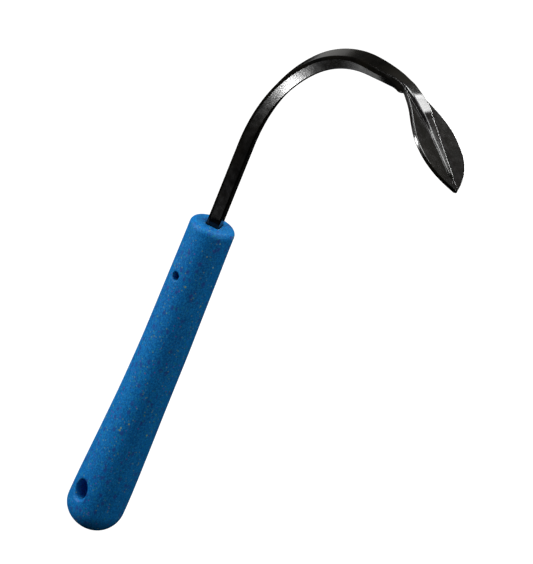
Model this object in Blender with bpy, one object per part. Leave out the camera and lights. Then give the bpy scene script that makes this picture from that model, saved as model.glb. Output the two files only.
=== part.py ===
"""Hoof pick: a moulded plastic handle, a forged steel hook with its hidden tang, and the pin that joins them.

Metres, +Z up. The origin is the centre of the small flat at the handle's butt. +Z runs along the handle
towards the hook, the hook bends towards +X in the plane Y = 0, and both cross holes run along Y.
"""
import math

import bmesh
import bpy
from mathutils import Vector

MM = 0.001
GAP = 0.3 * MM
SHARP_ANGLE = math.radians(35)

# Handle
HANDLE_LENGTH = 184.0 * MM
HANDLE_STATIONS = (  # height above the butt and radius, where the outline changes
    (13.5 * MM, 15.3 * MM),
    (28.0 * MM, 15.1 * MM),
    (55.0 * MM, 14.15 * MM),
    (83.0 * MM, 13.2 * MM),
    (120.0 * MM, 12.5 * MM),
    (160.0 * MM, 12.0 * MM),
    (180.0 * MM, 11.8 * MM),
)
BUTT_FLAT_RADIUS = 3.5 * MM
RIM_RADIUS = 3.0 * MM
SWEEP = 3.4 * MM
SWEEP_START = 118.0 * MM
SWEEP_POWER = 1.4
DOME_LEAN = 1.2 * MM
HANDLE_SEGMENTS = 48
DOME_RINGS = 9
RIM_RINGS = 5
BODY_RING_PITCH = 12.0 * MM

# Hanging hole through the butt: an upright oval, flared where it meets the surface
HANG_HEIGHT = 23.3 * MM
HANG_HALF_WIDTH = 4.3 * MM
HANG_HALF_HEIGHT = 5.6 * MM
HANG_FLARE = 1.2 * MM
HANG_FLARE_DEPTH = 2.0 * MM
HANG_SEGMENTS = 28

# Pin through handle and tang
PIN_HEIGHT = 153.8 * MM
PIN_RADIUS = 2.0 * MM
PIN_BORE_RADIUS = 1.2 * MM
PIN_SLOT_ANGLE = math.radians(40)
PIN_LENGTH = 15.0 * MM
PIN_SEGMENTS = 20

# Steel bar: a flat bar whose faces are turned a little about its length, out of the plane of the hook
BAR_WIDTH = 8.8 * MM
BAR_CHAMFER = 1.1 * MM
BAR_INNER_CHAMFER = 0.5 * MM
BAR_TURN = math.radians(33)
TANG_LENGTH = 92.0 * MM
TANG_POINT_LENGTH = 10.0 * MM
TANG_POINT_SCALE = 0.5

# Centre line of the hook from the front of the handle: length and turn of each stretch
HOOK_STRETCHES = (
    (45.0 * MM, math.radians(0)),     # straight shank
    (63.0 * MM, math.radians(44)),    # long bend
    (39.5 * MM, math.radians(37)),    # crown bend
    (16.5 * MM, math.radians(1)),     # nearly flat top
    (11.0 * MM, math.radians(30)),    # root of the leaf
    (53.5 * MM, math.radians(11)),    # leaf, drooping a little towards its tip
)
HOOK_STEP = 3.5 * MM

# Leaf, in distances back from its tip
LEAF_HALF_WIDTH = 14.1 * MM
LEAF_WIDEST = 24.0 * MM
LEAF_ROOT = 62.0 * MM
LEAF_TIP_POWER = 2.4
LEAF_TIP_HALF_WIDTH = 1.5 * MM
LEAF_PLATE = 2.2 * MM
LEAF_EDGE = 1.5 * MM
LEAF_EDGE_BEVEL = 0.8 * MM
LEAF_EDGE_LEVEL = 0.6 * MM
LEAF_DISH = 0.3 * MM
RIB_FLANK = 0.2  # width of the rib's flank for each unit of its height
FLANK_LEAST_WIDTH = 0.05 * MM
RIB_LEAST_HEIGHT = 0.01 * MM
RIB_STATIONS = (  # distance back from the tip, half width of the outer face, its height above the centre line
    (3.0 * MM, 0.7 * MM, 0.7 * MM),
    (10.0 * MM, 1.0 * MM, 0.9 * MM),
    (19.0 * MM, 1.45 * MM, 1.0 * MM),
    (28.0 * MM, 1.9 * MM, 1.3 * MM),
    (37.0 * MM, 2.3 * MM, 2.0 * MM),
    (41.0 * MM, 2.6 * MM, 2.65 * MM),
    (48.5 * MM, 2.7 * MM, 2.9 * MM),
    (54.0 * MM, 3.1 * MM, 2.2 * MM),
    (60.5 * MM, 3.3 * MM, 1.5 * MM),
    (69.0 * MM, 3.3 * MM, 2.2 * MM),
    (78.0 * MM, 3.3 * MM, 3.05 * MM),
    (92.0 * MM, 3.3 * MM, 3.3 * MM),
)
INNER_STATIONS = (  # distance back from the tip, depth of the inner face below the centre line
    (49.0 * MM, 2.0 * MM),
    (53.0 * MM, 2.8 * MM),
    (57.0 * MM, 4.2 * MM),
    (60.5 * MM, 3.9 * MM),
    (65.0 * MM, 3.4 * MM),
    (72.0 * MM, 3.3 * MM),
    (84.0 * MM, 3.6 * MM),
)
SHIFT_STATIONS = (  # distance back from the tip, shift of the whole section along +Y
    (24.0 * MM, 0.75 * MM),
    (33.0 * MM, 1.25 * MM),
    (43.0 * MM, 1.35 * MM),
    (52.0 * MM, 0.4 * MM),
    (62.0 * MM, 0.0 * MM),
)
RIB_OFFSET_STATIONS = (  # distance back from the tip, shift of the rib along -Y
    (0.0 * MM, 0.0 * MM),
    (10.0 * MM, 0.9 * MM),
    (30.0 * MM, 0.5 * MM),
    (46.0 * MM, 1.0 * MM),
    (58.0 * MM, 0.0 * MM),
)
LEAN_STATIONS = (  # distance back from the tip, tilt of the outer face, as a rise of its +Y edge
    (0.0 * MM, 0.0 * MM),
    (10.0 * MM, 0.12 * MM),
    (19.0 * MM, 0.17 * MM),
    (30.0 * MM, 0.17 * MM),
    (38.5 * MM, 0.12 * MM),
    (41.0 * MM, 0.55 * MM),
    (47.0 * MM, 0.55 * MM),
    (58.0 * MM, 0.0 * MM),
)

# Where along the hook each change begins and ends, in distances back from the tip
RIB_RISE = (5.5 * MM, 7.5 * MM)
UNTWIST = (50.0 * MM, 78.0 * MM)
BEVEL_GROWTH = (70.0 * MM, 100.0 * MM)
PLATE_GROWTH = (50.0 * MM, 70.0 * MM)
THINNING = (51.0 * MM, 58.0 * MM)
HEEL_TUCK = (54.0 * MM, 66.0 * MM)
STRIP_GROWTH = (58.0 * MM, 68.0 * MM)
SIDE_STRIP = 3.9 * MM  # height of the side left below the bevel
TIP_ROUND = 0.7 * MM
TIP_SCALE = 0.45

HANDLE_BLUE = (0.008, 0.17, 0.46, 1.0)
STEEL_BLACK = (0.018, 0.018, 0.020, 1.0)
PIN_GREY = (0.16, 0.16, 0.17, 1.0)


# ---------------------------------------------------------------- small tools

def clear_scene():
    for obj in list(bpy.data.objects):
        bpy.data.objects.remove(obj, do_unlink=True)


def material(name, colour, roughness, metallic):
    mat = bpy.data.materials.new(name)
    mat.use_nodes = True
    shader = mat.node_tree.nodes["Principled BSDF"]
    shader.inputs["Base Color"].default_value = colour
    shader.inputs["Roughness"].default_value = roughness
    shader.inputs["Metallic"].default_value = metallic
    return mat


def smooth_step(value, start, end):
    """0 at start, 1 at end, level at both."""
    share = min(max((value - start) / (end - start), 0.0), 1.0)
    return share * share * (3.0 - 2.0 * share)


def mix(low, high, share):
    return low + (high - low) * share


def station_value(stations, place, column):
    """A column of the stations at some place between them, on a smooth cubic through them."""
    places = [station[0] for station in stations]
    values = [station[column] for station in stations]
    if place <= places[0]:
        return values[0]
    if place >= places[-1]:
        return values[-1]
    slopes = [0.0]
    for i in range(1, len(stations) - 1):
        slopes.append((values[i + 1] - values[i - 1]) / (places[i + 1] - places[i - 1]))
    slopes.append(0.0)
    i = max(k for k in range(len(stations) - 1) if places[k] <= place)
    span = places[i + 1] - places[i]
    t = (place - places[i]) / span
    return (
        (2 * t ** 3 - 3 * t ** 2 + 1) * values[i] + (t ** 3 - 2 * t ** 2 + t) * span * slopes[i]
        + (3 * t ** 2 - 2 * t ** 3) * values[i + 1] + (t ** 3 - t ** 2) * span * slopes[i + 1]
    )


def object_from_rings(name, rings, mat=None):
    """One closed body lofted through rings with equally many points, with a flat cap on each end."""
    mesh = bpy.data.meshes.new(name)
    bm = bmesh.new()
    loops = [[bm.verts.new(point) for point in ring] for ring in rings]
    for lower, upper in zip(loops, loops[1:]):
        for i in range(len(lower)):
            j = (i + 1) % len(lower)
            bm.faces.new((lower[i], lower[j], upper[j], upper[i]))
    bm.faces.new(list(reversed(loops[0])))
    bm.faces.new(loops[-1])
    bmesh.ops.recalc_face_normals(bm, faces=bm.faces)
    bm.to_mesh(mesh)
    bm.free()
    mesh.shade_smooth()
    mesh.set_sharp_from_angle(angle=SHARP_ANGLE)
    obj = bpy.data.objects.new(name, mesh)
    bpy.context.collection.objects.link(obj)
    if mat:
        mesh.materials.append(mat)
    return obj


def cutter_from_rings(name, rings):
    cutter = object_from_rings(name, rings)
    cutter.hide_render = True
    cutter.display_type = "WIRE"
    return cutter


def cut(target, cutter):
    boolean = target.modifiers.new(cutter.name, "BOOLEAN")
    boolean.operation = "DIFFERENCE"
    boolean.solver = "EXACT"
    boolean.object = cutter


# ---------------------------------------------------------------- handle

def handle_centre_x(height):
    """The front of the handle is straight; the butt sweeps back from the hook, and its dome leans forward."""
    below = max(SWEEP_START - height, 0.0) / SWEEP_START
    dome_height = HANDLE_STATIONS[0][0]
    in_dome = max(dome_height - height, 0.0) / dome_height
    return SWEEP - (SWEEP + DOME_LEAN) * below ** SWEEP_POWER + DOME_LEAN * in_dome ** 2


def station_radius(height):
    return station_value(HANDLE_STATIONS, height, 1)


def handle_outline():
    """Height and radius of each ring, from the flat at the butt to the flat front face."""
    dome_height, dome_radius = HANDLE_STATIONS[0]
    flat_angle = math.asin(BUTT_FLAT_RADIUS / dome_radius)
    drop = dome_height / math.cos(flat_angle)
    outline = []
    for i in range(DOME_RINGS):
        angle = mix(flat_angle, math.pi / 2, i / DOME_RINGS)
        outline.append((dome_height - drop * math.cos(angle), dome_radius * math.sin(angle)))
    rim_height = HANDLE_LENGTH - RIM_RADIUS
    count = round((rim_height - dome_height) / BODY_RING_PITCH)
    for i in range(count):
        height = mix(dome_height, rim_height, i / count)
        outline.append((height, station_radius(height)))
    rim_centre = station_radius(rim_height) - RIM_RADIUS
    for i in range(RIM_RINGS + 1):
        angle = math.pi / 2 * i / RIM_RINGS
        outline.append((rim_height + RIM_RADIUS * math.sin(angle), rim_centre + RIM_RADIUS * math.cos(angle)))
    return outline


def circle(centre, radius, segments=HANDLE_SEGMENTS):
    """Points of a level circle."""
    return [
        centre + Vector((math.cos(angle), math.sin(angle), 0.0)) * radius
        for angle in (2 * math.pi * i / segments for i in range(segments))
    ]


def oval_ring(y, half_width, half_height, height, segments):
    """Points of an upright oval across the handle, at one depth y."""
    x = handle_centre_x(height)
    return [
        Vector((x + half_width * math.cos(angle), y, height + half_height * math.sin(angle)))
        for angle in (2 * math.pi * i / segments for i in range(segments))
    ]


def hanging_hole_cutter():
    surface = station_radius(HANG_HEIGHT)
    rings = []
    for y, flare in (
        (-surface - HANG_FLARE_DEPTH, 2 * HANG_FLARE),
        (-surface, HANG_FLARE),
        (-surface + HANG_FLARE_DEPTH * 0.5, HANG_FLARE * 0.35),
        (-surface + HANG_FLARE_DEPTH * 1.5, 0.0),
        (surface - HANG_FLARE_DEPTH * 1.5, 0.0),
        (surface - HANG_FLARE_DEPTH * 0.5, HANG_FLARE * 0.35),
        (surface, HANG_FLARE),
        (surface + HANG_FLARE_DEPTH, 2 * HANG_FLARE),
    ):
        width = HANG_HALF_WIDTH + flare
        height = HANG_HALF_HEIGHT + flare
        rings.append(oval_ring(y, width, height, HANG_HEIGHT, HANG_SEGMENTS))
    return cutter_from_rings("hanging_hole_cutter", rings)


def pin_hole_cutter(name, reach):
    radius = PIN_RADIUS + GAP
    rings = [oval_ring(y, radius, radius, PIN_HEIGHT, PIN_SEGMENTS) for y in (-reach, reach)]
    return cutter_from_rings(name, rings)


def socket_cutter():
    """The blind slot that the tang sits in, clear of it all round."""
    bottom = HANDLE_LENGTH - TANG_LENGTH - GAP
    point_top = bottom + TANG_POINT_LENGTH
    rings = [
        [Vector((p.x, p.y, height)) for p in bar_ring(height, scale, GAP)]
        for height, scale in ((bottom, TANG_POINT_SCALE), (point_top, 1.0), (HANDLE_LENGTH + 2 * MM, 1.0))
    ]
    return cutter_from_rings("tang_socket_cutter", rings)


def make_handle():
    mat = material("handle_plastic", HANDLE_BLUE, 0.55, 0.0)
    rings = [
        circle(Vector((handle_centre_x(height), 0.0, height)), radius) for height, radius in handle_outline()
    ]
    handle = object_from_rings("handle", rings, mat)
    cut(handle, hanging_hole_cutter())
    cut(handle, pin_hole_cutter("handle_pin_hole_cutter", 2 * HANDLE_STATIONS[0][1]))
    cut(handle, socket_cutter())
    return handle


# ---------------------------------------------------------------- hook

def leaf_half_width(left_to_tip, root_half):
    """Half width of the leaf: a rounded point, widest near its middle, running back into the bar."""
    if left_to_tip >= LEAF_WIDEST:
        back = min((left_to_tip - LEAF_WIDEST) / (LEAF_ROOT - LEAF_WIDEST), 1.0)
        return mix(LEAF_HALF_WIDTH, root_half, 0.5 - 0.5 * math.cos(math.pi * back))
    ahead = (LEAF_WIDEST - left_to_tip) / LEAF_WIDEST
    return mix(LEAF_HALF_WIDTH, LEAF_TIP_HALF_WIDTH, ahead ** LEAF_TIP_POWER)


def tip_drop(left_to_tip, level):
    """How far a surface at this level comes down to meet the point of the leaf."""
    ahead = max(LEAF_WIDEST - left_to_tip, 0.0) / LEAF_WIDEST
    return level * ahead ** LEAF_TIP_POWER


def section(left_to_tip):
    """Half outline of the steel's section, as (across, outward) pairs from the outer face to the inner.

    Well before the leaf it is the chamfered bar. Nearer the leaf the bevel beside the outer face grows until
    it takes up the whole side. On the leaf the outer face narrows to a rib that stands on a thin plate, and
    the plate is dished a little on that side.
    """
    half_wide = BAR_WIDTH / 2
    bevel = 1.0 - smooth_step(left_to_tip, *BEVEL_GROWTH)
    plate = 1.0 - smooth_step(left_to_tip, *PLATE_GROWTH)
    thin = 1.0 - smooth_step(left_to_tip, *THINNING)

    corner = half_wide - BAR_CHAMFER * 0.6
    leaf_edge = leaf_half_width(left_to_tip, corner)
    width = leaf_edge - LEAF_EDGE_BEVEL * plate
    rib = min(station_value(RIB_STATIONS, left_to_tip, 1), 0.9 * width)
    rib_top = station_value(RIB_STATIONS, left_to_tip, 2)
    depth = station_value(INNER_STATIONS, left_to_tip, 1)
    edge_level = mix(rib_top - BAR_CHAMFER * 0.4, LEAF_EDGE_LEVEL, plate)
    edge_level -= tip_drop(left_to_tip, edge_level)
    dish_level = edge_level - LEAF_DISH * min(1.0, width / LEAF_HALF_WIDTH)
    rib_top = mix(dish_level + RIB_LEAST_HEIGHT, rib_top, smooth_step(left_to_tip, *RIB_RISE))
    dish_start = min(rib + RIB_FLANK * (rib_top - dish_level) + FLANK_LEAST_WIDTH, 0.95 * width)
    foot = mix(mix(rib, width, 1 / 3), dish_start, plate)
    foot_level = mix(mix(rib_top, edge_level, 1 / 3), dish_level, plate)
    belly = mix(mix(rib, width, 2 / 3), mix(dish_start, width, 0.5), plate)
    belly_level = mix(mix(rib_top, edge_level, 2 / 3), mix(dish_level, edge_level, 0.32), plate)

    strip = mix(1.5 * BAR_INNER_CHAMFER, SIDE_STRIP, smooth_step(left_to_tip, *STRIP_GROWTH))
    side = mix(rib_top - BAR_CHAMFER, -depth + strip, bevel)
    low_side = mix(half_wide, leaf_edge, plate)
    low_level = mix(side, edge_level - LEAF_EDGE, plate)
    lower = 1.0 - smooth_step(left_to_tip, *HEEL_TUCK)
    heel = mix(half_wide, belly, lower)
    heel_level = mix(-depth + BAR_INNER_CHAMFER, belly_level - mix(LEAF_EDGE, LEAF_PLATE, 0.6), thin)
    inner = mix(half_wide - BAR_INNER_CHAMFER, 0.5 * belly, lower)
    inner_level = mix(-depth, dish_level - LEAF_PLATE, thin)
    return (
        (rib, rib_top),
        (foot, foot_level),
        (belly, belly_level),
        (width, edge_level),
        (low_side, low_level),
        (heel, heel_level),
        (inner, inner_level),
    )


def ring_from_section(centre, outward, across, half_outline, lean=0.0, rib_offset=0.0):
    """A closed ring: down one side of the section and back up the other.

    lean tips the outer face, and rib_offset moves it and its flanks sideways.
    """
    side = [centre + across * a + outward * o for a, o in half_outline]
    other = [centre - across * a + outward * o for a, o in reversed(half_outline)]
    side[0] += outward * lean
    other[-1] -= outward * lean
    for point in side[:2] + other[-2:]:
        point -= across * rib_offset
    return side + other


def bar_ring(height, scale=1.0, clearance=0.0):
    """The bar's section across the straight tang and shank, at one height."""
    outward = Vector((-math.cos(BAR_TURN), -math.sin(BAR_TURN), 0.0))
    across = Vector((-math.sin(BAR_TURN), math.cos(BAR_TURN), 0.0))
    centre = Vector((SWEEP, 0.0, height))
    outline = [
        (a * scale + clearance, o * scale + math.copysign(clearance, o))
        for a, o in section(BEVEL_GROWTH[1])
    ]
    return ring_from_section(centre, outward, across, outline)


def hook_path():
    """Position, heading from +Z, and length left to the tip, along the hook."""
    total = sum(length for length, turn in HOOK_STRETCHES)
    position = Vector((SWEEP, 0.0, HANDLE_LENGTH))
    heading = 0.0
    done = 0.0
    path = []
    for length, turn in HOOK_STRETCHES:
        steps = max(1, round(length / HOOK_STEP)) if turn else 1
        for _ in range(steps):
            path.append((position.copy(), heading, total - done))
            middle = heading + turn / steps / 2
            position += Vector((math.sin(middle), 0.0, math.cos(middle))) * (length / steps)
            heading += turn / steps
            done += length / steps
    path.append((position.copy(), heading, 0.0))
    return path


def hook_ring(position, heading, left_to_tip):
    outward = Vector((-math.cos(heading), 0.0, math.sin(heading)))
    across = Vector((0.0, 1.0, 0.0))
    turn = BAR_TURN * smooth_step(left_to_tip, *UNTWIST)
    turned_out = outward * math.cos(turn) - across * math.sin(turn)
    turned_across = across * math.cos(turn) + outward * math.sin(turn)
    centre = position + across * station_value(SHIFT_STATIONS, left_to_tip, 1)
    lean = station_value(LEAN_STATIONS, left_to_tip, 1)
    rib_offset = station_value(RIB_OFFSET_STATIONS, left_to_tip, 1)
    return ring_from_section(centre, turned_out, turned_across, section(left_to_tip), lean, rib_offset)


def tip_cap_ring(ring, heading):
    """A smaller ring just past the last one, which rounds off the tip."""
    centre = sum(ring, Vector()) / len(ring)
    ahead = Vector((math.sin(heading), 0.0, math.cos(heading))) * TIP_ROUND
    return [centre + (point - centre) * TIP_SCALE + ahead for point in ring]


def make_hook():
    mat = material("black_steel", STEEL_BLACK, 0.32, 1.0)
    tang_end = HANDLE_LENGTH - TANG_LENGTH
    rings = [
        bar_ring(tang_end, TANG_POINT_SCALE),
        bar_ring(tang_end + TANG_POINT_LENGTH),
    ]
    path = hook_path()
    rings += [hook_ring(*point) for point in path]
    rings.append(tip_cap_ring(rings[-1], path[-1][1]))
    hook = object_from_rings("hook", rings, mat)
    cut(hook, pin_hole_cutter("tang_pin_hole_cutter", 2 * BAR_WIDTH))
    return hook


# ---------------------------------------------------------------- pin

def make_pin():
    """A rolled spring pin: a tube with one open slot along it."""
    mat = material("pin_steel", PIN_GREY, 0.4, 1.0)
    half_slot = PIN_SLOT_ANGLE / 2
    angles = [mix(half_slot, 2 * math.pi - half_slot, i / PIN_SEGMENTS) for i in range(PIN_SEGMENTS + 1)]
    outline = [(PIN_RADIUS, angle) for angle in angles]
    outline += [(PIN_BORE_RADIUS, angle) for angle in reversed(angles)]
    rings = [
        [
            Vector((SWEEP + radius * math.cos(angle), y, PIN_HEIGHT + radius * math.sin(angle)))
            for radius, angle in outline
        ]
        for y in (-PIN_LENGTH / 2, PIN_LENGTH / 2)
    ]
    return object_from_rings("tang_pin", rings, mat)


def main():
    clear_scene()
    make_handle()
    make_hook()
    make_pin()


main()
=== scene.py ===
"""Looks of the hoof pick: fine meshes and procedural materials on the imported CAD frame. Metres, +Z up."""
import math

import bmesh
import bpy
from mathutils import Matrix, Vector


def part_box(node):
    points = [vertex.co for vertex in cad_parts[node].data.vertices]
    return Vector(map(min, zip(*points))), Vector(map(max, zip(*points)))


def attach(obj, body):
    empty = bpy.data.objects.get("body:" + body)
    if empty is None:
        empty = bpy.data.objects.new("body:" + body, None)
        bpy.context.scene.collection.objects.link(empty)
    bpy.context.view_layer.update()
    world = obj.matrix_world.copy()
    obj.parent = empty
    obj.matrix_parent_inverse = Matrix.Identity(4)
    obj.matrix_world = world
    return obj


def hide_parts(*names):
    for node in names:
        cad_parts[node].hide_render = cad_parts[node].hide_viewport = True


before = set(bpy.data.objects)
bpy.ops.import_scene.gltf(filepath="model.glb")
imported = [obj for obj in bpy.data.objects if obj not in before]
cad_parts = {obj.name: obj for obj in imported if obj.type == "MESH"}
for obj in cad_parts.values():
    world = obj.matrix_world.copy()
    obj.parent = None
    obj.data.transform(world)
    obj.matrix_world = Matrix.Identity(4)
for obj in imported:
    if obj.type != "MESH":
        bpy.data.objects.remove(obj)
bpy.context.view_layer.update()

HANDLE_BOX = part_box("handle")
PIN_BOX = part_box("tang_pin")
MM = 0.001

# Handle: its length, sweep and pin come from the CAD frame
HANDLE_LENGTH = HANDLE_BOX[1][2]
SWEEP = PIN_BOX[0][0] + (PIN_BOX[1][2] - PIN_BOX[0][2]) / 2
PIN_HEIGHT = (PIN_BOX[0][2] + PIN_BOX[1][2]) / 2
PIN_RADIUS = (PIN_BOX[1][2] - PIN_BOX[0][2]) / 2
PIN_LENGTH = PIN_BOX[1][1] - PIN_BOX[0][1]
FIT_GAP = 0.3 * MM
HANDLE_STATIONS = (  # height above the butt and radius, where the outline changes
    (13.5 * MM, 15.3 * MM),
    (28.0 * MM, 15.1 * MM),
    (55.0 * MM, 14.15 * MM),
    (83.0 * MM, 13.2 * MM),
    (120.0 * MM, 12.5 * MM),
    (160.0 * MM, 12.0 * MM),
    (180.0 * MM, 11.8 * MM),
)
SKIN_INSET = 0.04 * MM
BUTT_FLAT_RADIUS = 3.5 * MM
RIM_RADIUS = 3.0 * MM
SWEEP_START = 118.0 * MM
SWEEP_POWER = 1.4
DOME_LEAN = 1.2 * MM
HANG_HEIGHT = 23.3 * MM
HANG_HALF_WIDTH = 4.3 * MM
HANG_HALF_HEIGHT = 5.6 * MM
HANG_ROUNDING = 1.1 * MM
PIN_HOLE_ROUNDING = 0.35 * MM
HANDLE_SEGMENTS = 160
DOME_RINGS = 40
RIM_RINGS = 16
BODY_RING_PITCH = 1.5 * MM
HOLE_SEGMENTS = 72
HOLE_ROUNDING_STEPS = 8
MOUTH_WIDENING = 1.4  # how much wider than deep the round at a hole's mouth is
MOUTH_OVERRUN = 3.0  # how far a cutter's ends stand out of the handle, in roundings
MOUTH_OVERRUN_WIDENING = 3.2
VOXEL = 0.42 * MM

# Pin: a rolled tube with one slot
PIN_BORE_RADIUS = 0.6 * PIN_RADIUS
PIN_SLOT_ANGLE = math.radians(40)
PIN_EDGE = 0.25 * MM
PIN_SEGMENTS = 64
PIN_SHARP_ANGLE = math.radians(35)

# Steel bar and hook
BAR_WIDTH = 8.8 * MM
BAR_CHAMFER = 1.1 * MM
BAR_INNER_CHAMFER = 0.5 * MM
BAR_TURN = math.radians(33)
TANG_LENGTH = 92.0 * MM
TANG_POINT_LENGTH = 10.0 * MM
TANG_POINT_SCALE = 0.5
HOOK_STRETCHES = (
    (45.0 * MM, math.radians(0)),     # straight shank
    (63.0 * MM, math.radians(44)),    # long bend
    (39.5 * MM, math.radians(37)),    # crown bend
    (16.5 * MM, math.radians(1)),     # nearly flat top
    (11.0 * MM, math.radians(30)),    # root of the leaf
    (53.5 * MM, math.radians(11)),    # leaf, drooping a little towards its tip
)
HOOK_STEP = 0.7 * MM
LEAF_HALF_WIDTH = 14.1 * MM
LEAF_WIDEST = 24.0 * MM
LEAF_ROOT = 62.0 * MM
LEAF_TIP_POWER = 2.4
LEAF_TIP_HALF_WIDTH = 1.5 * MM
LEAF_PLATE = 2.2 * MM
LEAF_EDGE = 1.5 * MM
LEAF_EDGE_BEVEL = 0.8 * MM
LEAF_EDGE_LEVEL = 0.6 * MM
LEAF_DISH = 0.3 * MM
RIB_FLANK = 0.2  # width of the rib's flank for each unit of its height
FLANK_LEAST_WIDTH = 0.05 * MM
RIB_LEAST_HEIGHT = 0.01 * MM
RIB_STATIONS = (  # distance back from the tip, half width of the outer face, its height above the centre line
    (3.0 * MM, 0.7 * MM, 0.7 * MM),
    (10.0 * MM, 1.0 * MM, 0.9 * MM),
    (19.0 * MM, 1.45 * MM, 1.0 * MM),
    (28.0 * MM, 1.9 * MM, 1.3 * MM),
    (37.0 * MM, 2.3 * MM, 2.0 * MM),
    (41.0 * MM, 2.6 * MM, 2.65 * MM),
    (48.5 * MM, 2.7 * MM, 2.9 * MM),
    (54.0 * MM, 3.1 * MM, 2.2 * MM),
    (60.5 * MM, 3.3 * MM, 1.5 * MM),
    (69.0 * MM, 3.3 * MM, 2.2 * MM),
    (78.0 * MM, 3.3 * MM, 3.05 * MM),
    (92.0 * MM, 3.3 * MM, 3.3 * MM),
)
INNER_STATIONS = (  # distance back from the tip, depth of the inner face below the centre line
    (49.0 * MM, 2.0 * MM),
    (53.0 * MM, 2.8 * MM),
    (57.0 * MM, 4.2 * MM),
    (60.5 * MM, 3.9 * MM),
    (65.0 * MM, 3.4 * MM),
    (72.0 * MM, 3.3 * MM),
    (84.0 * MM, 3.6 * MM),
)
SHIFT_STATIONS = (  # distance back from the tip, shift of the whole section along +Y
    (24.0 * MM, 0.75 * MM),
    (33.0 * MM, 1.25 * MM),
    (43.0 * MM, 1.35 * MM),
    (52.0 * MM, 0.4 * MM),
    (62.0 * MM, 0.0 * MM),
)
RIB_OFFSET_STATIONS = (  # distance back from the tip, shift of the rib along -Y
    (0.0 * MM, 0.0 * MM),
    (10.0 * MM, 0.9 * MM),
    (30.0 * MM, 0.5 * MM),
    (46.0 * MM, 1.0 * MM),
    (58.0 * MM, 0.0 * MM),
)
LEAN_STATIONS = (  # distance back from the tip, tilt of the outer face, as a rise of its +Y edge
    (0.0 * MM, 0.0 * MM),
    (10.0 * MM, 0.12 * MM),
    (19.0 * MM, 0.17 * MM),
    (30.0 * MM, 0.17 * MM),
    (38.5 * MM, 0.12 * MM),
    (41.0 * MM, 0.55 * MM),
    (47.0 * MM, 0.55 * MM),
    (58.0 * MM, 0.0 * MM),
)

# Where along the hook each change begins and ends, in distances back from the tip
RIB_RISE = (5.5 * MM, 7.5 * MM)
UNTWIST = (50.0 * MM, 78.0 * MM)
BEVEL_GROWTH = (70.0 * MM, 100.0 * MM)
PLATE_GROWTH = (50.0 * MM, 70.0 * MM)
THINNING = (51.0 * MM, 58.0 * MM)
HEEL_TUCK = (54.0 * MM, 66.0 * MM)
STRIP_GROWTH = (58.0 * MM, 68.0 * MM)
SIDE_STRIP = 3.9 * MM  # height of the side left below the bevel
TIP_ROUND = 0.7 * MM
TIP_SCALE = 0.45

# Fine shape of the steel's edges
CORNER_ROUNDING = 0.45 * MM
CORNER_POINTS = 5
FOOT_ROUNDING = 0.12 * MM  # at the foot of the rib
TANG_HOLE_SEGMENTS = 48
HOOK_SHARP_ANGLE = math.radians(50)

# Camera
LOOK_AT = Vector((0.04373, 0.00734, 0.17494))
VIEW_AZIMUTH = math.radians(42)
VIEW_ELEVATION = math.radians(23)
VIEW_ROLL = math.radians(22.5)
VIEW_DISTANCE = 1.4
LENS = 193.85

# Studio
FLOOR_HALF = 6.0
WORLD_STRENGTH = 0.13
SKY_TINT = (1.0, 0.96, 0.84, 1.0)
SKY_RAMPS = {"Y": (0.06, 0.35), "Z": (-0.1, 0.05)}  # where the sky fades in along each direction

# Soft boxes: name, target, direction towards the light, distance, size, power
HANDLE_LIGHTS = (
    ("key", (0.02, 0.0, 0.1), (-0.6, -0.75, 0.3), 1.2, 0.7, 14.5),
    ("fill", (0.0, 0.0, 0.1), (0.9, -0.15, 0.4), 1.2, 1.0, 3.2),
    ("overhead", (0.1, 0.1, 0.0), (0.1, 0.1, 1.0), 2.2, 2.0, 55.0),
)
FLOOR_LIGHT = ("floor_wash", (0.0, 0.3, 0.0), (0.0, 0.0, 1.0), 3.0, 3.0, 150.0)
LEAF_MIDDLE = (0.12, 0.0, 0.27)
HOOK_LIGHTS = (
    ("low", (0.02, 0.0, 0.27), (0.11, -0.595, -0.796), 0.3, 0.03, 0.38),
    ("under", (0.08, 0.0, 0.285), (-0.52, -0.05, -0.85), 0.25, 0.08, 0.03),
    ("rim", (0.04, 0.0, 0.29), (-0.95, 0.28, 0.13), 1.0, 0.42, 0.28),
    ("corner", (0.09, 0.0, 0.285), (-0.53, -0.39, 0.76), 0.9, 0.14, 1.0),
    ("root_back", LEAF_MIDDLE, (-0.21, 0.44, 0.87), 0.9, 0.22, 2.8),
    ("root_front", LEAF_MIDDLE, (0.08, 0.36, 0.93), 0.9, 0.26, 3.8),
    ("top", LEAF_MIDDLE, (0.13, -0.15, 0.97), 0.9, 0.35, 4.0),
    ("near_edge", LEAF_MIDDLE, (-0.35, -0.8, 0.5), 0.9, 0.24, 12.0),
    ("far_edge", LEAF_MIDDLE, (-0.25, 0.95, 0.15), 0.9, 0.4, 13.0),
)


# ---------------------------------------------------------------- small tools

def smooth_step(value, start, end):
    """0 at start, 1 at end, level at both."""
    share = min(max((value - start) / (end - start), 0.0), 1.0)
    return share * share * (3.0 - 2.0 * share)


def mix(low, high, share):
    return low + (high - low) * share


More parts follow.
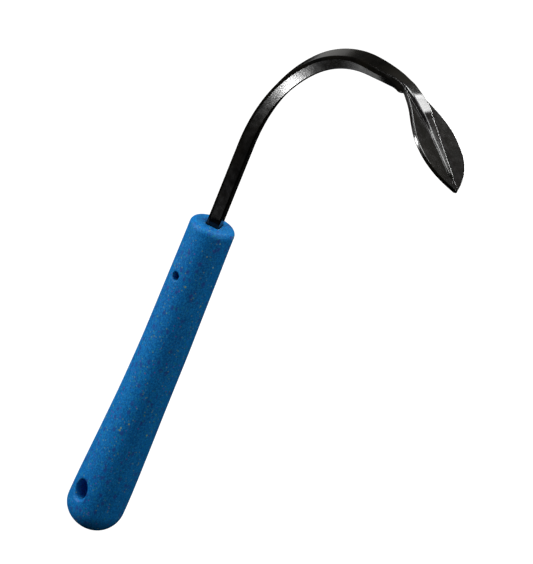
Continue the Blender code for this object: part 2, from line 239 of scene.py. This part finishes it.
def station_value(stations, place, column):
    """A column of the stations at some place between them, on a smooth cubic through them."""
    places = [station[0] for station in stations]
    values = [station[column] for station in stations]
    if place <= places[0]:
        return values[0]
    if place >= places[-1]:
        return values[-1]
    slopes = [0.0]
    for i in range(1, len(stations) - 1):
        slopes.append((values[i + 1] - values[i - 1]) / (places[i + 1] - places[i - 1]))
    slopes.append(0.0)
    i = max(k for k in range(len(stations) - 1) if places[k] <= place)
    span = places[i + 1] - places[i]
    t = (place - places[i]) / span
    return (
        (2 * t ** 3 - 3 * t ** 2 + 1) * values[i] + (t ** 3 - 2 * t ** 2 + t) * span * slopes[i]
        + (3 * t ** 2 - 2 * t ** 3) * values[i + 1] + (t ** 3 - t ** 2) * span * slopes[i + 1]
    )


def object_from_rings(name, rings):
    """One closed body lofted through rings with equally many points, with a flat cap on each end."""
    mesh = bpy.data.meshes.new(name)
    bm = bmesh.new()
    loops = [[bm.verts.new(point) for point in ring] for ring in rings]
    for lower, upper in zip(loops, loops[1:]):
        for i in range(len(lower)):
            j = (i + 1) % len(lower)
            bm.faces.new((lower[i], lower[j], upper[j], upper[i]))
    bm.faces.new(list(reversed(loops[0])))
    bm.faces.new(loops[-1])
    bmesh.ops.recalc_face_normals(bm, faces=bm.faces)
    bm.to_mesh(mesh)
    bm.free()
    mesh.shade_smooth()
    obj = bpy.data.objects.new(name, mesh)
    bpy.context.collection.objects.link(obj)
    return obj


def apply_modifiers(obj):
    """Leaves the object with the mesh its modifiers make."""
    evaluated = obj.evaluated_get(bpy.context.evaluated_depsgraph_get())
    mesh = bpy.data.meshes.new_from_object(evaluated)
    old = obj.data
    obj.modifiers.clear()
    obj.data = mesh
    bpy.data.meshes.remove(old)


def cut(target, cutter):
    boolean = target.modifiers.new(cutter.name, "BOOLEAN")
    boolean.operation = "DIFFERENCE"
    boolean.solver = "EXACT"
    boolean.object = cutter
    bpy.context.view_layer.update()
    apply_modifiers(target)
    bpy.data.objects.remove(cutter, do_unlink=True)


# ---------------------------------------------------------------- handle shape

def handle_centre_x(height):
    """The front of the handle is straight; the butt sweeps back from the hook, and its dome leans forward."""
    below = max(SWEEP_START - height, 0.0) / SWEEP_START
    dome_height = HANDLE_STATIONS[0][0]
    in_dome = max(dome_height - height, 0.0) / dome_height
    return SWEEP - (SWEEP + DOME_LEAN) * below ** SWEEP_POWER + DOME_LEAN * in_dome ** 2


def station_radius(height):
    return station_value(HANDLE_STATIONS, height, 1)


def handle_outline():
    """Height and radius of each ring, from the flat at the butt to the flat front face."""
    dome_height, dome_radius = HANDLE_STATIONS[0]
    flat_angle = math.asin(BUTT_FLAT_RADIUS / dome_radius)
    drop = dome_height / math.cos(flat_angle)
    outline = []
    for i in range(DOME_RINGS):
        angle = mix(flat_angle, math.pi / 2, i / DOME_RINGS)
        outline.append((dome_height - drop * math.cos(angle), dome_radius * math.sin(angle)))
    rim_height = HANDLE_LENGTH - RIM_RADIUS
    count = round((rim_height - dome_height) / BODY_RING_PITCH)
    for i in range(count):
        height = mix(dome_height, rim_height, i / count)
        outline.append((height, station_radius(height)))
    rim_centre = station_radius(rim_height) - RIM_RADIUS
    for i in range(RIM_RINGS + 1):
        angle = math.pi / 2 * i / RIM_RINGS
        outline.append((rim_height + RIM_RADIUS * math.sin(angle), rim_centre + RIM_RADIUS * math.cos(angle)))
    return outline


def circle(centre, radius, segments):
    """Points of a level circle."""
    return [
        centre + Vector((math.cos(angle), math.sin(angle), 0.0)) * radius
        for angle in (2 * math.pi * i / segments for i in range(segments))
    ]


def oval_ring(y, half_width, half_height, height, segments):
    """Points of an upright oval across the handle, at one depth y."""
    x = handle_centre_x(height)
    return [
        Vector((x + half_width * math.cos(angle), y, height + half_height * math.sin(angle)))
        for angle in (2 * math.pi * i / segments for i in range(segments))
    ]


def cross_hole_cutter(name, height, half_width, half_height, rounding):
    """A hole along Y whose mouths open out in a quarter round, as moulded holes do."""
    surface = station_radius(height)
    side = [(surface - rounding, 0.0)]
    for i in range(1, HOLE_ROUNDING_STEPS + 1):
        rise = math.cos(math.pi / 2 * i / HOLE_ROUNDING_STEPS)
        side.append((surface - rounding * rise, rounding * (1.0 - rise) * MOUTH_WIDENING))
    side.append((surface + rounding * MOUTH_OVERRUN, rounding * MOUTH_OVERRUN_WIDENING))
    rings = [oval_ring(-y, half_width + f, half_height + f, height, HOLE_SEGMENTS) for y, f in reversed(side)]
    rings += [oval_ring(y, half_width + f, half_height + f, height, HOLE_SEGMENTS) for y, f in side]
    return object_from_rings(name, rings)


def socket_cutter():
    bottom = HANDLE_LENGTH - TANG_LENGTH - FIT_GAP
    point_top = bottom + TANG_POINT_LENGTH
    rings = [
        [Vector((p.x, p.y, height)) for p in bar_ring(height, scale, FIT_GAP)]
        for height, scale in ((bottom, TANG_POINT_SCALE), (point_top, 1.0), (HANDLE_LENGTH + 2 * MM, 1.0))
    ]
    return object_from_rings("socket_cutter", rings)


def make_handle():
    rings = [
        circle(Vector((handle_centre_x(height), 0.0, height)), radius - SKIN_INSET, HANDLE_SEGMENTS)
        for height, radius in handle_outline()
    ]
    handle = object_from_rings("grip", rings)
    cut(handle, cross_hole_cutter(
        "hang_cutter", HANG_HEIGHT, HANG_HALF_WIDTH, HANG_HALF_HEIGHT, HANG_ROUNDING))
    hole = PIN_RADIUS + FIT_GAP
    cut(handle, cross_hole_cutter("pin_cutter", PIN_HEIGHT, hole, hole, PIN_HOLE_ROUNDING))
    cut(handle, socket_cutter())
    remesh = handle.modifiers.new("even_skin", "REMESH")
    remesh.mode = "VOXEL"
    remesh.voxel_size = VOXEL
    remesh.use_smooth_shade = True
    relax = handle.modifiers.new("soft_rims", "SMOOTH")
    relax.factor = 0.5
    relax.iterations = 4
    apply_modifiers(handle)
    return handle


# ---------------------------------------------------------------- hook shape

def leaf_half_width(left_to_tip, root_half):
    """Half width of the leaf: a rounded point, widest near its middle, running back into the bar."""
    if left_to_tip >= LEAF_WIDEST:
        back = min((left_to_tip - LEAF_WIDEST) / (LEAF_ROOT - LEAF_WIDEST), 1.0)
        return mix(LEAF_HALF_WIDTH, root_half, 0.5 - 0.5 * math.cos(math.pi * back))
    ahead = (LEAF_WIDEST - left_to_tip) / LEAF_WIDEST
    return mix(LEAF_HALF_WIDTH, LEAF_TIP_HALF_WIDTH, ahead ** LEAF_TIP_POWER)


def tip_drop(left_to_tip, level):
    """How far a surface at this level comes down to meet the point of the leaf."""
    ahead = max(LEAF_WIDEST - left_to_tip, 0.0) / LEAF_WIDEST
    return level * ahead ** LEAF_TIP_POWER


def section(left_to_tip):
    """Half outline of the steel's section, as (across, outward) pairs from the outer face to the inner.

    Well before the leaf it is the chamfered bar. Nearer the leaf the bevel beside the outer face grows until
    it takes up the whole side. On the leaf the outer face narrows to a rib that stands on a thin plate, and
    the plate is dished a little on that side.
    """
    half_wide = BAR_WIDTH / 2
    bevel = 1.0 - smooth_step(left_to_tip, *BEVEL_GROWTH)
    plate = 1.0 - smooth_step(left_to_tip, *PLATE_GROWTH)
    thin = 1.0 - smooth_step(left_to_tip, *THINNING)

    corner = half_wide - BAR_CHAMFER * 0.6
    leaf_edge = leaf_half_width(left_to_tip, corner)
    width = leaf_edge - LEAF_EDGE_BEVEL * plate
    rib = min(station_value(RIB_STATIONS, left_to_tip, 1), 0.9 * width)
    rib_top = station_value(RIB_STATIONS, left_to_tip, 2)
    depth = station_value(INNER_STATIONS, left_to_tip, 1)
    edge_level = mix(rib_top - BAR_CHAMFER * 0.4, LEAF_EDGE_LEVEL, plate)
    edge_level -= tip_drop(left_to_tip, edge_level)
    dish_level = edge_level - LEAF_DISH * min(1.0, width / LEAF_HALF_WIDTH)
    rib_top = mix(dish_level + RIB_LEAST_HEIGHT, rib_top, smooth_step(left_to_tip, *RIB_RISE))
    dish_start = min(rib + RIB_FLANK * (rib_top - dish_level) + FLANK_LEAST_WIDTH, 0.95 * width)
    foot = mix(mix(rib, width, 1 / 3), dish_start, plate)
    foot_level = mix(mix(rib_top, edge_level, 1 / 3), dish_level, plate)
    belly = mix(mix(rib, width, 2 / 3), mix(dish_start, width, 0.5), plate)
    belly_level = mix(mix(rib_top, edge_level, 2 / 3), mix(dish_level, edge_level, 0.32), plate)

    strip = mix(1.5 * BAR_INNER_CHAMFER, SIDE_STRIP, smooth_step(left_to_tip, *STRIP_GROWTH))
    side = mix(rib_top - BAR_CHAMFER, -depth + strip, bevel)
    low_side = mix(half_wide, leaf_edge, plate)
    low_level = mix(side, edge_level - LEAF_EDGE, plate)
    lower = 1.0 - smooth_step(left_to_tip, *HEEL_TUCK)
    heel = mix(half_wide, belly, lower)
    heel_level = mix(-depth + BAR_INNER_CHAMFER, belly_level - mix(LEAF_EDGE, LEAF_PLATE, 0.6), thin)
    inner = mix(half_wide - BAR_INNER_CHAMFER, 0.5 * belly, lower)
    inner_level = mix(-depth, dish_level - LEAF_PLATE, thin)
    return (
        (rib, rib_top),
        (foot, foot_level),
        (belly, belly_level),
        (width, edge_level),
        (low_side, low_level),
        (heel, heel_level),
        (inner, inner_level),
    )


def rounded(points):
    """A closed outline with a small round in place of each corner."""
    result = []
    count = len(points)
    for i, corner in enumerate(points):
        to_before = points[i - 1] - corner
        to_after = points[(i + 1) % count] - corner
        reach = FOOT_ROUNDING if i in (1, count - 2) else CORNER_ROUNDING
        before = corner + to_before * min(reach / max(to_before.length, 1e-9), 0.4)
        after = corner + to_after * min(reach / max(to_after.length, 1e-9), 0.4)
        for k in range(CORNER_POINTS):
            t = k / (CORNER_POINTS - 1)
            result.append(before * (1 - t) ** 2 + corner * 2 * t * (1 - t) + after * t ** 2)
    return result


def ring_from_section(centre, outward, across, half_outline, lean=0.0, rib_offset=0.0):
    """A closed ring: down one side of the section and back up the other.

    lean tips the outer face, and rib_offset moves it and its flanks sideways.
    """
    side = [centre + across * a + outward * o for a, o in half_outline]
    other = [centre - across * a + outward * o for a, o in reversed(half_outline)]
    side[0] += outward * lean
    other[-1] -= outward * lean
    for point in side[:2] + other[-2:]:
        point -= across * rib_offset
    return rounded(side + other)


def bar_ring(height, scale=1.0, clearance=0.0):
    """The bar's section across the straight tang and shank, at one height."""
    outward = Vector((-math.cos(BAR_TURN), -math.sin(BAR_TURN), 0.0))
    across = Vector((-math.sin(BAR_TURN), math.cos(BAR_TURN), 0.0))
    outline = [
        (a * scale + clearance, o * scale + math.copysign(clearance, o))
        for a, o in section(BEVEL_GROWTH[1])
    ]
    return ring_from_section(Vector((SWEEP, 0.0, height)), outward, across, outline)


def hook_path():
    """Position, heading from +Z, and length left to the tip, along the hook."""
    total = sum(length for length, turn in HOOK_STRETCHES)
    position = Vector((SWEEP, 0.0, HANDLE_LENGTH))
    heading = 0.0
    done = 0.0
    path = []
    for length, turn in HOOK_STRETCHES:
        steps = round(length / HOOK_STEP)
        for _ in range(steps):
            path.append((position.copy(), heading, total - done))
            middle = heading + turn / steps / 2
            position += Vector((math.sin(middle), 0.0, math.cos(middle))) * (length / steps)
            heading += turn / steps
            done += length / steps
    path.append((position.copy(), heading, 0.0))
    return path


def hook_ring(position, heading, left_to_tip):
    outward = Vector((-math.cos(heading), 0.0, math.sin(heading)))
    across = Vector((0.0, 1.0, 0.0))
    turn = BAR_TURN * smooth_step(left_to_tip, *UNTWIST)
    turned_out = outward * math.cos(turn) - across * math.sin(turn)
    turned_across = across * math.cos(turn) + outward * math.sin(turn)
    centre = position + across * station_value(SHIFT_STATIONS, left_to_tip, 1)
    lean = station_value(LEAN_STATIONS, left_to_tip, 1)
    rib_offset = station_value(RIB_OFFSET_STATIONS, left_to_tip, 1)
    return ring_from_section(centre, turned_out, turned_across, section(left_to_tip), lean, rib_offset)


def tip_cap_ring(ring, heading):
    """A smaller ring just past the last one, which rounds off the tip."""
    centre = sum(ring, Vector()) / len(ring)
    ahead = Vector((math.sin(heading), 0.0, math.cos(heading))) * TIP_ROUND
    return [centre + (point - centre) * TIP_SCALE + ahead for point in ring]


def make_hook():
    tang_end = HANDLE_LENGTH - TANG_LENGTH
    rings = [bar_ring(tang_end, TANG_POINT_SCALE), bar_ring(tang_end + TANG_POINT_LENGTH)]
    path = hook_path()
    rings += [hook_ring(*point) for point in path]
    rings.append(tip_cap_ring(rings[-1], path[-1][1]))
    hook = object_from_rings("forged_hook", rings)
    radius = PIN_RADIUS + FIT_GAP
    reach = 2 * BAR_WIDTH
    pin_hole = [oval_ring(y, radius, radius, PIN_HEIGHT, TANG_HOLE_SEGMENTS) for y in (-reach, reach)]
    cut(hook, object_from_rings("tang_hole_cutter", pin_hole))
    hook.data.shade_smooth()
    hook.data.set_sharp_from_angle(angle=HOOK_SHARP_ANGLE)
    flat_faces = hook.modifiers.new("flat_faces", "WEIGHTED_NORMAL")
    flat_faces.keep_sharp = True
    apply_modifiers(hook)
    return hook


# ---------------------------------------------------------------- pin shape

def make_pin():
    """A rolled spring pin: a tube with one open slot along it."""
    half_slot = PIN_SLOT_ANGLE / 2
    angles = [mix(half_slot, 2 * math.pi - half_slot, i / PIN_SEGMENTS) for i in range(PIN_SEGMENTS + 1)]
    end = PIN_LENGTH / 2
    rings = []
    for y, shrink in ((-end, PIN_EDGE), (-end + PIN_EDGE, 0.0), (end - PIN_EDGE, 0.0), (end, PIN_EDGE)):
        outline = [(PIN_RADIUS - shrink, angle) for angle in angles]
        outline += [(PIN_BORE_RADIUS, angle) for angle in reversed(angles)]
        rings.append([
            Vector((SWEEP + radius * math.cos(angle), y, PIN_HEIGHT + radius * math.sin(angle)))
            for radius, angle in outline
        ])
    pin = object_from_rings("spring_pin", rings)
    pin.data.set_sharp_from_angle(angle=PIN_SHARP_ANGLE)
    return pin


# ---------------------------------------------------------------- materials

class Nodes:
    """Builds one material's node tree."""

    def __init__(self, name):
        self.material = bpy.data.materials.new(name)
        self.material.use_nodes = True
        self.tree = self.material.node_tree
        self.shader = self.tree.nodes["Principled BSDF"]
        self.position = self.add("ShaderNodeTexCoord").outputs["Object"]

    def add(self, kind, **settings):
        node = self.tree.nodes.new(kind)
        for name, value in settings.items():
            setattr(node, name, value)
        return node

    def link(self, source, target):
        self.tree.links.new(source, target)

    def stretched(self, scale):
        mapping = self.add("ShaderNodeMapping")
        mapping.inputs["Scale"].default_value = scale
        self.link(self.position, mapping.inputs["Vector"])
        return mapping.outputs["Vector"]

    def noise(self, scale, detail=3.0, roughness=0.5, vector=None):
        node = self.add("ShaderNodeTexNoise")
        node.inputs["Scale"].default_value = scale
        node.inputs["Detail"].default_value = detail
        node.inputs["Roughness"].default_value = roughness
        self.link(vector or self.position, node.inputs["Vector"])
        return node.outputs["Fac"]

    def ranged(self, value, low, high, new_low=0.0, new_high=1.0):
        node = self.add("ShaderNodeMapRange")
        limits = {"From Min": low, "From Max": high, "To Min": new_low, "To Max": new_high}
        for name, number in limits.items():
            node.inputs[name].default_value = number
        self.link(value, node.inputs["Value"])
        return node.outputs["Result"]

    def blend(self, share, first, second):
        """first where share is 0, second where it is 1. Either is a colour or an output."""
        node = self.add("ShaderNodeMix", data_type="RGBA")
        self.link(share, node.inputs["Factor"])
        for name, value in (("A", first), ("B", second)):
            socket = next(s for s in node.inputs if s.name == name and s.type == "RGBA")
            if isinstance(value, tuple):
                socket.default_value = value
            else:
                self.link(value, socket)
        return next(s for s in node.outputs if s.type == "RGBA")

    def product(self, first, second):
        node = self.add("ShaderNodeMath", operation="MULTIPLY")
        self.link(first, node.inputs[0])
        if isinstance(second, float):
            node.inputs[1].default_value = second
        else:
            self.link(second, node.inputs[1])
        return node.outputs["Value"]

    def specks(self, scale, radius, share, spread):
        """Small scattered flecks: 1 inside a fleck, 0 elsewhere, in the given share of the cells."""
        cells = self.add("ShaderNodeTexVoronoi")
        cells.inputs["Scale"].default_value = scale
        cells.inputs["Randomness"].default_value = 1.0
        self.link(self.stretched(spread), cells.inputs["Vector"])
        inside = self.ranged(cells.outputs["Distance"], radius, radius * 0.55)
        channels = self.add("ShaderNodeSeparateColor")
        self.link(cells.outputs["Color"], channels.inputs["Color"])
        chosen = self.ranged(channels.outputs["Red"], 1.0 - share, 1.0 - share + 0.02)
        return self.product(inside, chosen)

    def bump(self, height, strength, distance, below=None):
        node = self.add("ShaderNodeBump")
        node.inputs["Strength"].default_value = strength
        node.inputs["Distance"].default_value = distance
        self.link(height, node.inputs["Height"])
        if below:
            self.link(below, node.inputs["Normal"])
        return node.outputs["Normal"]


def recycled_plastic():
    """Blue plastic moulded from mixed scrap: mottled, with fine yellow, green, violet and pale flecks."""
    n = Nodes("recycled_blue_plastic")
    clouds = n.ranged(n.noise(60.0, 4.0, 0.6), 0.35, 0.65)
    colour = n.blend(clouds, (0.002, 0.145, 0.48, 1.0), (0.003, 0.185, 0.56, 1.0))
    grain = n.ranged(n.noise(1100.0, 3.0, 0.7), 0.4, 0.6)
    colour = n.blend(n.product(grain, 0.8), colour, (0.002, 0.085, 0.26, 1.0))
    light_grain = n.ranged(n.noise(1500.0, 2.0, 0.7, n.stretched((1.0, 1.0, 0.8))), 0.5, 0.62)
    colour = n.blend(n.product(light_grain, 0.7), colour, (0.02, 0.27, 0.62, 1.0))
    flecks = (  # scale, radius, share of the cells, stretch, strength, colour
        (330.0, 0.40, 0.50, (1.0, 1.0, 0.7), 0.55, (0.025, 0.035, 0.24, 1.0)),
        (620.0, 0.36, 0.35, (1.0, 1.0, 0.8), 0.60, (0.02, 0.24, 0.30, 1.0)),
        (700.0, 0.30, 0.25, (1.0, 0.9, 0.8), 0.60, (0.20, 0.33, 0.16, 1.0)),
        (560.0, 0.30, 0.16, (1.0, 0.9, 1.0), 0.60, (0.16, 0.05, 0.34, 1.0)),
        (380.0, 0.22, 0.06, (1.0, 0.9, 0.8), 0.80, (0.30, 0.40, 0.10, 1.0)),
        (330.0, 0.17, 0.03, (0.8, 1.0, 0.9), 0.90, (0.30, 0.50, 0.36, 1.0)),
    )
    for scale, radius, share, spread, strength, tint in flecks:
        spots = n.specks(scale, radius, share, spread)
        colour = n.blend(n.product(spots, strength), colour, tint)
    n.link(colour, n.shader.inputs["Base Color"])
    n.link(n.ranged(n.noise(220.0, 4.0, 0.6), 0.3, 0.7, 0.42, 0.58), n.shader.inputs["Roughness"])
    n.shader.inputs["IOR"].default_value = 1.48
    n.shader.inputs["Specular IOR Level"].default_value = 0.15
    swirl = n.bump(n.noise(60.0, 2.0), 0.25, 0.0006)
    skin = n.bump(n.noise(1400.0, 3.0, 0.65), 0.35, 0.00012, swirl)
    n.link(skin, n.shader.inputs["Normal"])
    return n.material


def black_steel():
    """Forged steel under a satin black coat, with a warm brown cast where the coat is thin."""
    n = Nodes("satin_black_steel")
    patches = n.ranged(n.noise(70.0, 5.0, 0.65), 0.4, 0.7)
    colour = n.blend(patches, (0.001, 0.001, 0.001, 1.0), (0.004, 0.0034, 0.0024, 1.0))
    n.link(colour, n.shader.inputs["Base Color"])
    n.shader.inputs["Metallic"].default_value = 0.0
    n.shader.inputs["IOR"].default_value = 1.5
    n.link(n.ranged(n.noise(350.0, 4.0, 0.6), 0.3, 0.7, 0.15, 0.23), n.shader.inputs["Roughness"])
    hammered = n.bump(n.noise(160.0, 3.0, 0.55), 0.12, 0.0003)
    fine = n.bump(n.noise(1500.0, 2.0, 0.6), 0.3, 0.00006, hammered)
    n.link(fine, n.shader.inputs["Normal"])
    return n.material


def pin_steel():
    """Dark oiled spring steel with drawn streaks along the pin."""
    n = Nodes("spring_steel")
    streaks = n.noise(1.0, 3.0, 0.6, n.stretched((2600.0, 120.0, 2600.0)))
    n.link(n.blend(streaks, (0.10, 0.10, 0.105, 1.0), (0.24, 0.24, 0.25, 1.0)), n.shader.inputs["Base Color"])
    n.shader.inputs["Metallic"].default_value = 1.0
    n.link(n.ranged(streaks, 0.3, 0.7, 0.3, 0.45), n.shader.inputs["Roughness"])
    n.link(n.bump(streaks, 0.2, 0.00004), n.shader.inputs["Normal"])
    return n.material


def dress(piece, material, node):
    piece.data.materials.clear()
    piece.data.materials.append(material)
    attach(piece, "root")
    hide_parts(node)


# ---------------------------------------------------------------- studio

def make_floor():
    mesh = bpy.data.meshes.new("floor")
    corners = [(x * FLOOR_HALF, y * FLOOR_HALF, 0.0) for x, y in ((-1, -1), (1, -1), (1, 1), (-1, 1))]
    mesh.from_pydata(corners, [], [(0, 1, 2, 3)])
    floor = bpy.data.objects.new("floor", mesh)
    bpy.context.collection.objects.link(floor)
    material = bpy.data.materials.new("pale_floor")
    material.use_nodes = True
    shader = material.node_tree.nodes["Principled BSDF"]
    shader.inputs["Base Color"].default_value = (0.9, 0.9, 0.9, 1.0)
    shader.inputs["Roughness"].default_value = 0.9
    mesh.materials.append(material)
    floor.visible_glossy = False
    floor.visible_diffuse = False
    return floor


def area_light(name, target, direction, distance, size, power):
    """A square soft box on the given side of target, facing it."""
    data = bpy.data.lights.new(name, "AREA")
    data.size = size
    data.energy = power
    light = bpy.data.objects.new(name, data)
    towards = Vector(direction).normalized()
    light.location = Vector(target) + towards * distance
    light.rotation_euler = towards.to_track_quat("Z", "Y").to_euler()
    light.visible_camera = False
    bpy.context.collection.objects.link(light)
    return light


def only_lights(light, *pieces):
    """The light reaches these pieces and nothing else."""
    receivers = bpy.data.collections.new(light.name + "_receivers")
    for piece in pieces:
        receivers.objects.link(piece)
    light.light_linking.receiver_collection = receivers


def make_world():
    """A warm pale sky over the +Y side. The rest is dark."""
    world = bpy.data.worlds.new("studio")
    world.use_nodes = True
    tree = world.node_tree
    background = tree.nodes["Background"]
    background.inputs["Strength"].default_value = WORLD_STRENGTH
    direction = tree.nodes.new("ShaderNodeTexCoord")
    split = tree.nodes.new("ShaderNodeSeparateXYZ")
    tree.links.new(direction.outputs["Generated"], split.inputs["Vector"])

    sky = tree.nodes.new("ShaderNodeMath")
    sky.operation = "MULTIPLY"
    for factor, (axis, (low, high)) in zip(sky.inputs, SKY_RAMPS.items()):
        ramp = tree.nodes.new("ShaderNodeMapRange")
        ramp.inputs["From Min"].default_value = low
        ramp.inputs["From Max"].default_value = high
        tree.links.new(split.outputs[axis], ramp.inputs["Value"])
        tree.links.new(ramp.outputs["Result"], factor)
    tint = tree.nodes.new("ShaderNodeMix")
    tint.data_type = "RGBA"
    tree.links.new(sky.outputs["Value"], tint.inputs["Factor"])
    colours = [socket for socket in tint.inputs if socket.type == "RGBA"]
    colours[0].default_value = (0.0, 0.0, 0.0, 1.0)
    colours[1].default_value = SKY_TINT
    result = next(socket for socket in tint.outputs if socket.type == "RGBA")
    tree.links.new(result, background.inputs["Color"])
    bpy.context.scene.world = world


def make_lights(handle, hook, pin, floor):
    """Large soft boxes for the plastic, small ones for the steel, and a wash for the floor."""
    for settings in HANDLE_LIGHTS:
        only_lights(area_light(*settings), handle, pin)
    floor_wash = area_light(*FLOOR_LIGHT)
    only_lights(floor_wash, floor)
    floor_wash.light_linking.blocker_collection = floor_wash.light_linking.receiver_collection
    for settings in HOOK_LIGHTS:
        only_lights(area_light(*settings), hook)


def make_camera():
    data = bpy.data.cameras.new("view")
    data.sensor_fit = "HORIZONTAL"
    data.sensor_width = 36.0
    data.lens = LENS
    data.clip_end = 20.0
    camera = bpy.data.objects.new("view", data)
    turn = (
        Matrix.Rotation(VIEW_AZIMUTH, 4, "Z")
        @ Matrix.Rotation(math.pi / 2 - VIEW_ELEVATION, 4, "X")
        @ Matrix.Rotation(VIEW_ROLL, 4, "Z")
    )
    back = turn.to_3x3() @ Vector((0.0, 0.0, VIEW_DISTANCE))
    camera.matrix_world = Matrix.Translation(LOOK_AT + back) @ turn
    bpy.context.collection.objects.link(camera)
    bpy.context.scene.camera = camera


handle = make_handle()
hook = make_hook()
pin = make_pin()
dress(handle, recycled_plastic(), "handle")
dress(hook, black_steel(), "hook")
dress(pin, pin_steel(), "tang_pin")
make_world()
make_lights(handle, hook, pin, make_floor())
make_camera()
bpy.context.scene.view_settings.view_transform = "Standard"

bpy.context.view_layer.update()
